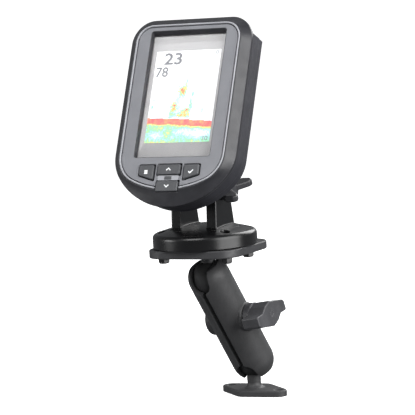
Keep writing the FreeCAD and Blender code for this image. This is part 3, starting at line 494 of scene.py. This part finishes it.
# Returns above the bottom: across, up, half width, half height, strength
RETURNS = [
    {"x": -0.6, "z": 4.2, "wide": 2.6, "high": 3.2, "strength": 0.86},
    {"x": 1.6, "z": 7.0, "wide": 0.9, "high": 4.4, "strength": 0.70},
    {"x": -1.6, "z": 4.8, "wide": 1.6, "high": 1.3, "strength": 0.95},
    {"x": -3.6, "z": -2.6, "wide": 2.0, "high": 4.2, "strength": 0.26},
    {"x": -0.4, "z": -1.0, "wide": 1.6, "high": 3.2, "strength": 0.20},
    {"x": -6.7, "z": -7.4, "wide": 1.7, "high": 2.2, "strength": 1.0},
    {"x": -6.2, "z": -9.8, "wide": 2.2, "high": 2.4, "strength": 0.80},
    {"x": -7.4, "z": -13.4, "wide": 2.6, "high": 3.4, "strength": 0.56},
    {"x": -2.4, "z": -9.6, "wide": 1.6, "high": 5.0, "strength": 0.24},
    {"x": 4.8, "z": -10.6, "wide": 1.6, "high": 1.2, "strength": 1.0},
    {"x": 1.2, "z": -14.6, "wide": 4.0, "high": 1.6, "strength": 0.84},
    {"x": 2.6, "z": -12.4, "wide": 3.6, "high": 1.5, "strength": 0.78},
    {"x": 5.6, "z": -14.4, "wide": 2.0, "high": 2.2, "strength": 0.70},
    {"x": 7.2, "z": -7.4, "wide": 1.3, "high": 2.2, "strength": 0.56},
    {"x": 7.0, "z": -4.2, "wide": 0.8, "high": 2.2, "strength": 0.48},
    {"x": 8.0, "z": 1.4, "wide": 0.9, "high": 2.4, "strength": 0.44},
    {"x": 12.6, "z": 4.6, "wide": 1.8, "high": 1.0, "strength": 0.24},
    {"x": -24.0, "z": -2.4, "wide": 1.2, "high": 2.0, "strength": 0.24},
    {"x": -24.2, "z": -8.0, "wide": 0.8, "high": 1.2, "strength": 0.44},
    {"x": 11.8, "z": -14.4, "wide": 0.7, "high": 1.4, "strength": 0.26},
    {"x": 17.4, "z": -11.6, "wide": 1.6, "high": 2.6, "strength": 0.24},
]

# Paler and yellower patches in the layer under the bottom line
CLOUDS = [
    {"x": -18.5, "z": -29.6, "wide": 5.5, "high": 2.6, "strength": -0.34},
    {"x": 3.5, "z": -27.4, "wide": 7.5, "high": 3.4, "strength": -0.24},
    {"x": 17.5, "z": -29.0, "wide": 9.0, "high": 4.0, "strength": -0.34},
    {"x": -8.5, "z": -28.0, "wide": 3.4, "high": 6.0, "strength": 0.12},
    {"x": -19.0, "z": -35.6, "wide": 9.0, "high": 1.4, "strength": 0.20},
    {"x": 0.0, "z": -35.6, "wide": 9.0, "high": 1.2, "strength": 0.12},
]


# Unevenness of the picture: its strength, its size in millimetres and its seed
BOTTOM_RIPPLE = (0.5, 6.0, 1.5)
BAND_RIPPLE = (0.9, 7.0, 4.5)
HARD_PATCHES = (0.10, 5.0, 8.5)
HARD_GRAIN = (0.10, 1.0, 5.5)
EDGE_GRAIN = (0.2, 1.2, 2.5)
SOFT_PATCHES = (0.14, 5.0, 6.5)
SOFT_GRAIN = (0.26, 1.1, 3.5)
RETURN_GRAIN = (0.5, 0.7, 9.5)
RETURN_PATCHES = (0.75, 1.3)

# Strengths of the layers, the weakest that shows in the ground and in the water, and a
# return's strength in its middle and its fall from there to its rim
HARD_STRENGTH = 0.94
EDGE_STRENGTH = 0.80
EDGE_FADE = 0.3
SOFT_STRENGTH = 0.44
LEAST_GROUND = 0.04
LEAST_RETURN = 0.06
RETURN_CORE = 1.3
RETURN_FALL = 0.8


def unevenness(x, z, strength, size, seed):
    return strength * noise.noise(Vector((x / size, z / size, seed)))


def distance_from(spot, x, z):
    """Distance from a spot's centre, as a share of its size."""
    return math.hypot((x - spot["x"]) / spot["wide"], (z - spot["z"]) / spot["high"])


def ground_strength(x, z, depth):
    """Strength at one place under the bottom line: a hard band over a softer layer."""
    band = BOTTOM_BAND + unevenness(x, 0, *BAND_RIPPLE)
    if depth < band:
        return (HARD_STRENGTH + unevenness(x, z, *HARD_PATCHES)
                + unevenness(x, z, *HARD_GRAIN))
    if depth < band + BOTTOM_EDGE:
        fade = EDGE_FADE * (depth - band) / BOTTOM_EDGE
        return EDGE_STRENGTH - fade + unevenness(x, z, *EDGE_GRAIN)
    strength = SOFT_STRENGTH + unevenness(x, z, *SOFT_PATCHES) + unevenness(x, z, *SOFT_GRAIN)
    for cloud in CLOUDS:
        strength += cloud["strength"] * math.exp(-distance_from(cloud, x, z) ** 2)
    return max(LEAST_GROUND, strength)


def return_share(spot, x, z):
    """How much of a return shows at one place: 1 in its middle, with a ragged edge."""
    rough = unevenness(x, z, *RETURN_PATCHES, spot["x"]) + unevenness(x, z, *RETURN_GRAIN)
    return min(1.0, RETURN_CORE - RETURN_FALL * distance_from(spot, x, z) + rough)


def echo_strength(x, z):
    """Strength of the returned sound at one place of the picture, 0 to 1."""
    across = x / ACTIVE_WIDTH + 0.5
    bottom = BOTTOM_LEFT - BOTTOM_DROP * across ** BOTTOM_BEND
    depth = bottom + unevenness(x, 0, *BOTTOM_RIPPLE) - z
    if depth > 0:
        return ground_strength(x, z, depth)
    strength = max(spot["strength"] * return_share(spot, x, z) for spot in RETURNS)
    return strength if strength > LEAST_RETURN else 0.0


def palette_colour(strength):
    strength = min(max(strength, 0.0), 1.0)
    for (start, first), (end, second) in zip(PALETTE, PALETTE[1:]):
        if strength <= end:
            share = (strength - start) / (end - start)
            return light(*(a + (b - a) * share for a, b in zip(first, second)))
    return light(*PALETTE[-1][1])


def picture_mesh():
    """Grid of cells over the lit area, coloured by the strength of the echo."""
    step_x = ACTIVE_WIDTH / CELLS_ACROSS
    step_z = ACTIVE_HEIGHT / CELLS_UP
    points = [(i * step_x - ACTIVE_WIDTH / 2, PICTURE_DEPTH, j * step_z - ACTIVE_HEIGHT / 2)
              for j in range(CELLS_UP + 1) for i in range(CELLS_ACROSS + 1)]
    row = CELLS_ACROSS + 1
    cells = []
    colours = []
    for j in range(CELLS_UP):
        for i in range(CELLS_ACROSS):
            first = j * row + i
            cells.append((first, first + 1, first + row + 1, first + row))
            x = (i + 0.5) * step_x - ACTIVE_WIDTH / 2
            z = (j + 0.5) * step_z - ACTIVE_HEIGHT / 2
            colours.extend(palette_colour(echo_strength(x, z)) * 4)
    mesh = bpy.data.meshes.new("display_picture")
    mesh.from_pydata(points, [], cells)
    mesh.color_attributes.new("echo", "FLOAT_COLOR", "CORNER").data.foreach_set(
        "color", colours)
    return mesh


def digits_mesh(name, text, corner, size, bold):
    """Plain digits that fill a box on the picture, facing the viewer."""
    curve = bpy.data.curves.new(name, "FONT")
    curve.body = text
    curve.size = size[1] / DIGIT_SHARE
    curve.offset = bold
    curve.resolution_u = 4
    holder = bpy.data.objects.new(name, curve)
    bpy.context.collection.objects.link(holder)
    bpy.context.view_layer.update()
    mesh = bpy.data.meshes.new_from_object(holder)
    bpy.data.objects.remove(holder)
    bpy.data.curves.remove(curve)
    mesh.name = name
    xs = [vertex.co.x for vertex in mesh.vertices]
    ys = [vertex.co.y for vertex in mesh.vertices]
    wide = size[0] / (max(xs) - min(xs))
    high = size[1] / (max(ys) - min(ys))
    for vertex in mesh.vertices:
        x = corner[0] + (vertex.co.x - min(xs)) * wide
        z = corner[1] + (vertex.co.y - min(ys)) * high
        vertex.co = (x, PICTURE_DEPTH - DIGIT_LIFT, z)
    return mesh


def make_display(place, materials):
    add_piece("display_picture", picture_mesh(), place, "head", materials["picture"])
    for digits in DIGITS:
        mesh = digits_mesh(digits["name"], digits["text"], digits["corner"], digits["size"],
                           digits["bold"])
        add_piece(digits["name"], mesh, place, "head", materials["display_ink"])


# ---------------------------------------------------------------- keys

def square_mark():
    """Card with two lines cut out of it, as three bars."""
    bars = []
    for low in CARD_BARS:
        bars.append(rounded_rectangle((-CARD_HALF_WIDTH, low),
                                      (CARD_HALF_WIDTH, low + CARD_BAR_HEIGHT), CARD_CORNER))
    return bars


def arrow_mark(direction):
    """Chevron that points up for 1 and down for -1."""
    tip = direction * ARROW_HALF_HEIGHT
    return [stroke([(-ARROW_HALF_WIDTH, -tip), (0, tip), (ARROW_HALF_WIDTH, -tip)], ARROW_LINE)]


def make_key_marks(place, materials):
    marks = {
        "menu": square_mark(),
        "up": arrow_mark(1),
        "down": arrow_mark(-1),
        "check": [stroke(TICK, TICK_LINE)],
    }
    for key, outlines in marks.items():
        low, high = local_box(key + "_button", place)
        centre = (low + high) / 2
        outlines = [[(x + centre.x, z + centre.z) for x, z in o] for o in outlines]
        mesh = thin_plates(key + "_mark", outlines, low.y - MARK_THICKNESS,
                           MARK_THICKNESS + MARK_SINK)
        # The marks' white ink glows with painted light from its emission
        add_piece(key + "_mark", mesh, place, key + "_key", materials["white_ink"])


def make_key_strip(place, materials):
    """Pale strip between the arrow keys, with a darker insert in its middle."""
    face = local_box("fascia", place)[0].y
    strip = [rounded_rectangle((-STRIP_HALF_WIDTH, STRIP_LOW),
                               (STRIP_HALF_WIDTH, STRIP_HIGH), STRIP_CORNER)]
    mesh = thin_plates("key_strip", strip, face - STRIP_PROUD, STRIP_PROUD + STRIP_SINK)
    add_piece("key_strip", mesh, place, "head", materials["bead_grey"])
    insert = [rounded_rectangle((-INSERT_HALF_WIDTH, STRIP_LOW + INSERT_MARGIN),
                                (INSERT_HALF_WIDTH, STRIP_HIGH - INSERT_MARGIN),
                                INSERT_CORNER)]
    mesh = thin_plates("key_strip_insert", insert, face - STRIP_PROUD - INSERT_PROUD,
                       INSERT_THICKNESS)
    add_piece("key_strip_insert", mesh, place, "head", materials["key_grey"])


# ---------------------------------------------------------------- studio

def camera_axes():
    """The camera's right, up and backward directions before its roll."""
    right = Vector((math.cos(AZIMUTH), math.sin(AZIMUTH), 0))
    back = Vector((math.sin(AZIMUTH) * math.cos(ELEVATION),
                   -math.cos(AZIMUTH) * math.cos(ELEVATION), math.sin(ELEVATION)))
    return right, back.cross(right), back


def make_camera():
    low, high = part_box("swivel_base")
    aim = Vector(((low.x + high.x) / 2, (low.y + high.y) / 2, low.z + RIM_HEIGHT * MM))
    right, up, back = camera_axes()
    data = bpy.data.cameras.new("camera")
    data.lens = LENS
    data.sensor_width = SENSOR_WIDTH
    data.clip_start = NEAREST * MM
    data.clip_end = FARTHEST * MM
    camera = bpy.data.objects.new("camera", data)
    bpy.context.collection.objects.link(camera)
    rolled_right = right * math.cos(ROLL) - up * math.sin(ROLL)
    rolled_up = right * math.sin(ROLL) + up * math.cos(ROLL)
    axes = Matrix((rolled_right, rolled_up, back)).transposed()
    spot = aim + (back * DISTANCE + right * SIDE_STEP + up * RISE) * MM
    camera.matrix_world = Matrix.Translation(spot) @ axes.to_4x4()
    bpy.context.scene.camera = camera


def soft_light(name, direction, distance, width, watts, aim):
    """Square soft box in a direction given as right, up and towards the camera."""
    right, up, back = camera_axes()
    towards = (right * direction[0] + up * direction[1] + back * direction[2]).normalized()
    data = bpy.data.lights.new(name, "AREA")
    data.shape = "SQUARE"
    data.size = width
    data.energy = watts
    lamp = bpy.data.objects.new(name, data)
    bpy.context.collection.objects.link(lamp)
    lamp.location = aim + towards * distance
    lamp.rotation_euler = towards.to_track_quat("Z", "Y").to_euler()


def make_floor():
    """Pale round floor that curves up into a low wall all round."""
    profile = [(0.0, 0.0), (FLOOR_MIDDLE, 0.0), (FLOOR_RADIUS, 0.0)]
    for step in range(1, WALL_BEND_STEPS + 1):
        turn = math.pi / 2 * step / WALL_BEND_STEPS
        profile.append((FLOOR_RADIUS + WALL_BEND * math.sin(turn),
                        WALL_BEND - WALL_BEND * math.cos(turn)))
    profile.append((FLOOR_RADIUS + WALL_BEND, WALL_TOP))
    points = []
    for radius, height in profile:
        for i in range(FLOOR_SIDES):
            turn = 2 * math.pi * i / FLOOR_SIDES
            points.append((radius * math.cos(turn), radius * math.sin(turn), height))
    faces = []
    for ring in range(len(profile) - 1):
        inner = ring * FLOOR_SIDES
        outer = inner + FLOOR_SIDES
        for i in range(FLOOR_SIDES):
            j = (i + 1) % FLOOR_SIDES
            faces.append((inner + i, inner + j, outer + j, outer + i))
    mesh = bpy.data.meshes.new("floor")
    mesh.from_pydata(points, [], faces)
    mesh.validate()
    mesh.polygons.foreach_set("use_smooth", [True] * len(mesh.polygons))
    floor = bpy.data.objects.new("floor", mesh)
    bpy.context.collection.objects.link(floor)
    floor.location.z = -FLOOR_DROP * MM
    floor.visible_glossy = False
    floor.visible_diffuse = False
    floor.data.materials.append(finish(
        "floor", (246, 246, 246), (249, 249, 249), (0.7, 0.8), 4.0, 0.05, patch=300.0,
        emission=0.9))


def make_studio():
    low, high = cad_box
    for box in LIGHTS:
        soft_light(**box, aim=(low + high) / 2)
    world = bpy.data.worlds.new("world")
    world.use_nodes = True
    background = world.node_tree.nodes["Background"]
    background.inputs["Color"].default_value = light(*WORLD_COLOUR)
    background.inputs["Strength"].default_value = WORLD_STRENGTH
    scene = bpy.context.scene
    scene.world = world
    scene.view_settings.view_transform = "Standard"


# ---------------------------------------------------------------- all of it

def main():
    materials = make_materials()
    paint_cad(materials)
    place = head_frame()
    make_display(place, materials)
    make_key_marks(place, materials)
    make_key_strip(place, materials)
    make_floor()
    make_studio()
    make_camera()


main()
